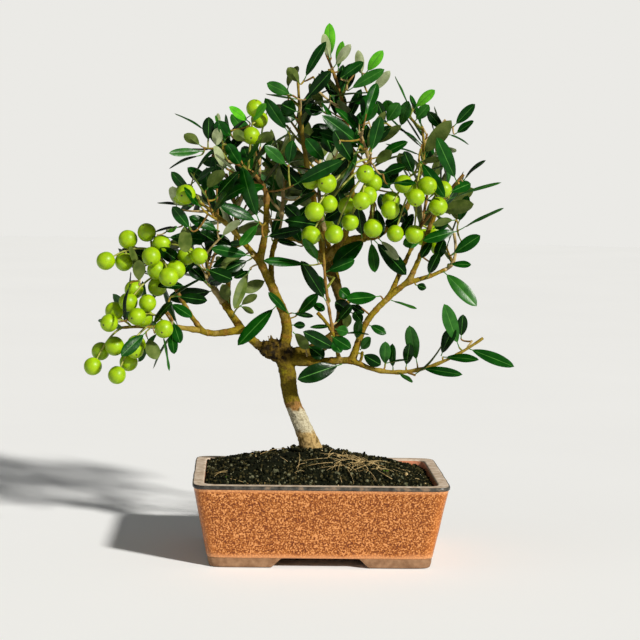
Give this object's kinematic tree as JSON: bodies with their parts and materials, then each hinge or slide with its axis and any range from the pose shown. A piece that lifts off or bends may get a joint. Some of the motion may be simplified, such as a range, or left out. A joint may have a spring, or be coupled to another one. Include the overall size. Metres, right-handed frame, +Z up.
{
  "type": "olive bonsai",
  "caption": "Small olive tree with a leaning trunk, forking boughs, leathery leaves and round green fruit, in a glazed rectangular pot that stands on corner feet.",
  "frame": {"origin": "on the surface the pot stands on, under the middle of the whole plant's box", "axes": "+Z up along the plant, +X to the right and +Y away from the front that shows most fruit"},
  "size_m": [0.3452, 0.1896, 0.4279],
  "materials": {
    "glaze": "speckled gloss",
    "soil": "granular matt",
    "bark": "rough bark",
    "foliage": "leathery satin"
  },
  "bodies": {
    "root": {"pot": "glaze", "soil": "soil", "trunk": "bark", "bough_left": "bark", "bough_low_left": "bark", "bough_left_rise": "bark", "bough_centre_left": "bark", "bough_upper_left": "bark", "bough_left_high": "bark", "bough_inner": "bark", "bough_rear": "bark", "bough_rear_rise": "bark", "bough_rear_right": "bark", "bough_rear_left": "bark", "bough_leader": "bark", "bough_crown": "bark", "bough_front": "bark", "bough_crown_right": "bark", "bough_low_right": "bark", "bough_right": "bark", "bough_right_upper": "bark", "bough_right_side": "bark", "bough_stub": "bark", "bough_back": "bark", "bough_back_left": "bark", "bough_back_right": "bark", "leaves_low_left": "foliage", "leaves_left": "foliage", "leaves_left_inner": "foliage", "leaves_left_high": "foliage", "leaves_upper_left": "foliage", "leaves_centre_left": "foliage", "leaves_top_left": "foliage", "leaves_top": "foliage", "leaves_front": "foliage", "leaves_right_top": "foliage", "leaves_right_outer": "foliage", "leaves_right_side": "foliage", "leaves_low_right": "foliage", "leaves_centre": "foliage", "leaves_back": "foliage", "leaves_back_left": "foliage", "leaves_back_right": "foliage", "leaves_rear_left": "foliage"}
  },
  "joints": []
}
